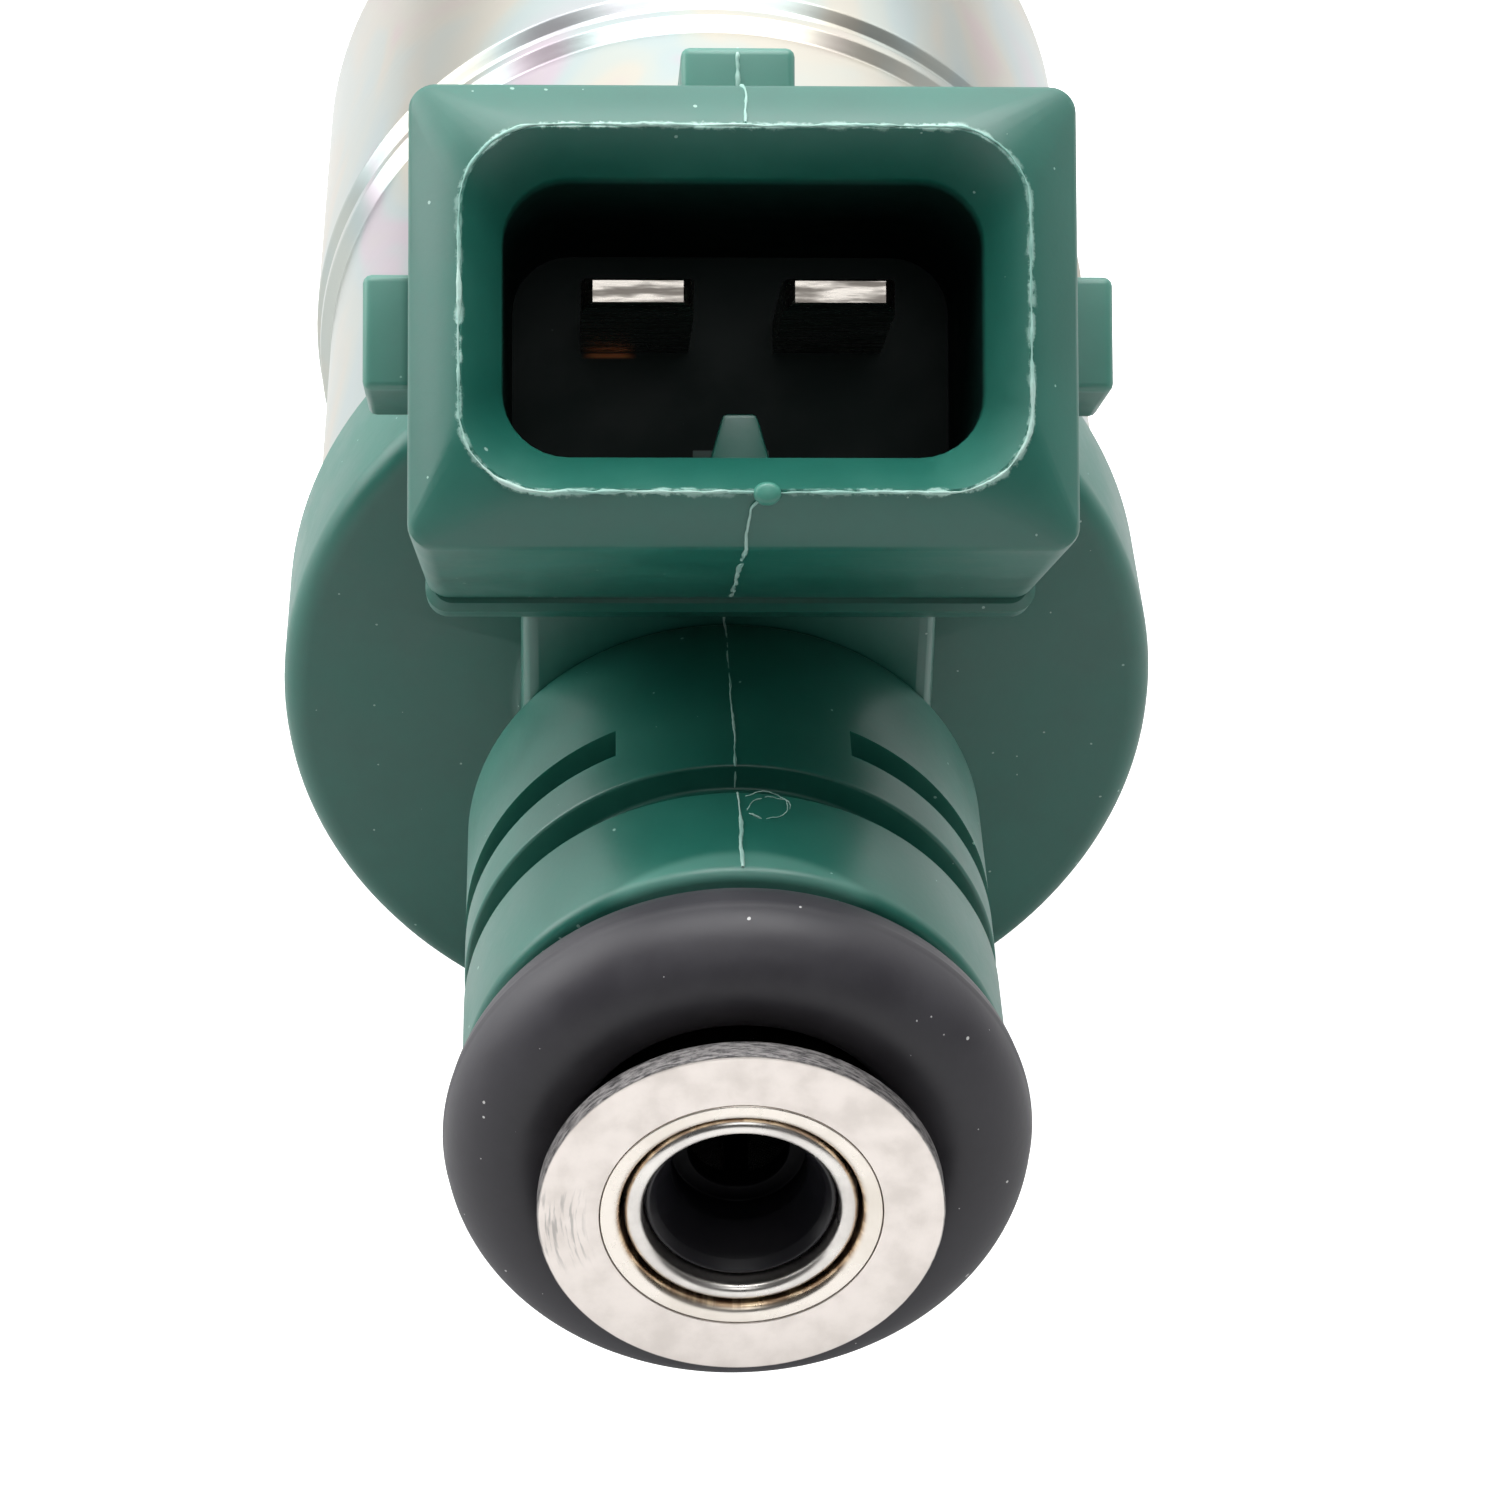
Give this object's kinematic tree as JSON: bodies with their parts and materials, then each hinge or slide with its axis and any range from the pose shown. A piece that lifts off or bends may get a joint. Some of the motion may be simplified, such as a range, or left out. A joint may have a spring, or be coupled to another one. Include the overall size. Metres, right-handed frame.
{
  "type": "fuel injector",
  "caption": "Top-feed petrol fuel injector: moulded neck with a blade connector, plated steel solenoid can, O-ring seals at both ends, and a sprung needle that lifts to spray.",
  "frame": {"origin": "centre of the fuel inlet face, on the injector's axis, where the fuel rail's cup holds it", "axes": "+Y along the injector's axis from the fuel inlet to the nozzle, +Z towards the connector, +X to the right seen from the inlet"},
  "size_m": [0.0242, 0.0752, 0.0353],
  "materials": {
    "stainless": "turned and ground stainless steel",
    "zinc_plate": "zinc plated steel with a pale iridescent passivation",
    "soft_iron": "turned soft magnetic iron",
    "spring_steel": "drawn spring steel",
    "green_plastic": "satin moulded glass-filled plastic, deep blue-green",
    "black_plastic": "satin moulded plastic, black",
    "bobbin_plastic": "moulded plastic, tan",
    "nylon_mesh": "woven filter cloth",
    "rubber": "moulded fluorocarbon rubber, charcoal",
    "copper": "enamelled copper wire",
    "tinned_brass": "stamped brass with a tin plate"
  },
  "bodies": {
    "body": {"inlet_tube": "stainless", "inlet_flange_ring": "stainless", "filter_sleeve": "stainless", "filter_basket": "black_plastic", "filter_mesh": "nylon_mesh", "adjusting_sleeve": "spring_steel", "return_spring": "spring_steel", "coil_bobbin": "bobbin_plastic", "coil_winding": "copper", "core_seal_ring": "rubber", "bobbin_seal_ring": "rubber", "housing": "green_plastic", "terminal_blade_left": "tinned_brass", "terminal_blade_right": "tinned_brass", "end_plate": "soft_iron", "solenoid_can": "zinc_plate", "stop_plate": "spring_steel", "nozzle_body": "stainless", "body_seal_ring": "rubber", "upper_o_ring": "rubber", "lower_o_ring": "rubber", "lower_spacer_ring": "black_plastic", "nozzle_cap": "black_plastic"},
    "needle_assembly": {"needle": "stainless", "armature": "soft_iron"}
  },
  "joints": [
    {"name": "needle_lift", "type": "slide", "parent": "body", "child": "needle_assembly", "axis": [0, -1, 0], "range_m": [0, 0.0001], "stiffness_N_per_m": 1000, "deforming": ["return_spring"]}
  ]
}
